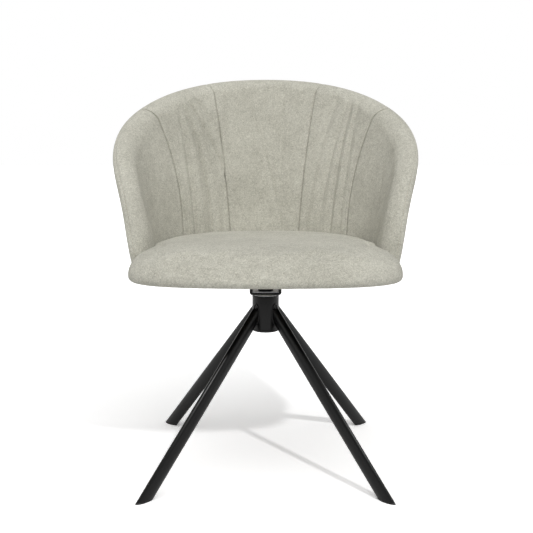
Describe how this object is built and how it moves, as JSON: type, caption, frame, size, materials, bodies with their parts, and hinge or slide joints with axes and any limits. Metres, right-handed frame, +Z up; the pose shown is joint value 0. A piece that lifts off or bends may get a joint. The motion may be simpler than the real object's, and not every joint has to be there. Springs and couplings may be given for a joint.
{
  "type": "swivel dining chair",
  "caption": "Upholstered tub dining chair with gathered back panels and sloping arms, on a splayed oval-tube base with a free swivel.",
  "frame": {"origin": "on the floor, under the swivel axis, which is the middle of the footprint", "axes": "+Z up along the swivel axis; the sitter faces -Y; +X is to the right of a viewer in front of the chair"},
  "size_m": [0.617, 0.5347, 0.8095],
  "materials": {
    "black_steel": "black powder coat, satin",
    "zinc_steel": "bright zinc plate",
    "black_nut": "black oxide, satin",
    "glide_plastic": "moulded polypropylene, matt",
    "nylon": "turned nylon, natural",
    "plywood": "birch plywood, sanded",
    "chenille": "fine-grained warm grey upholstery cloth over foam",
    "base_cloth": "non-woven black lining"
  },
  "bodies": {
    "base": {"hub_tube": "black_steel", "hub_cap": "glide_plastic", "lower_bush": "nylon", "upper_bush": "nylon", "lower_race": "zinc_steel", "leg_front_left": "black_steel", "glide_front_left": "glide_plastic", "leg_front_right": "black_steel", "glide_front_right": "glide_plastic", "leg_rear_left": "black_steel", "glide_rear_left": "glide_plastic", "leg_rear_right": "black_steel", "glide_rear_right": "glide_plastic"},
    "seat": {"upper_race": "zinc_steel", "bearing_balls": "zinc_steel", "ball_cage": "nylon", "spindle": "zinc_steel", "spindle_washer": "zinc_steel", "retaining_ring": "zinc_steel", "swivel_bracket": "black_steel", "bracket_liner": "zinc_steel", "spindle_nut": "black_nut", "mounting_plate": "black_steel", "mounting_bolts": "zinc_steel", "tee_nuts": "zinc_steel", "seat_board": "plywood", "tub_rail": "plywood", "tub_core": "plywood", "rail_screws": "zinc_steel", "dust_cover": "base_cloth", "seat_pad": "chenille", "outer_cover": "chenille", "centre_panel": "chenille", "pleated_panel_left": "chenille", "pleated_panel_right": "chenille", "side_panel_left": "chenille", "side_panel_right": "chenille"}
  },
  "joints": [
    {"name": "seat_swivel", "type": "hinge", "parent": "base", "child": "seat", "pos_m": [0, 0, 0.3553], "axis": [0, 0, 1], "continuous": true}
  ]
}
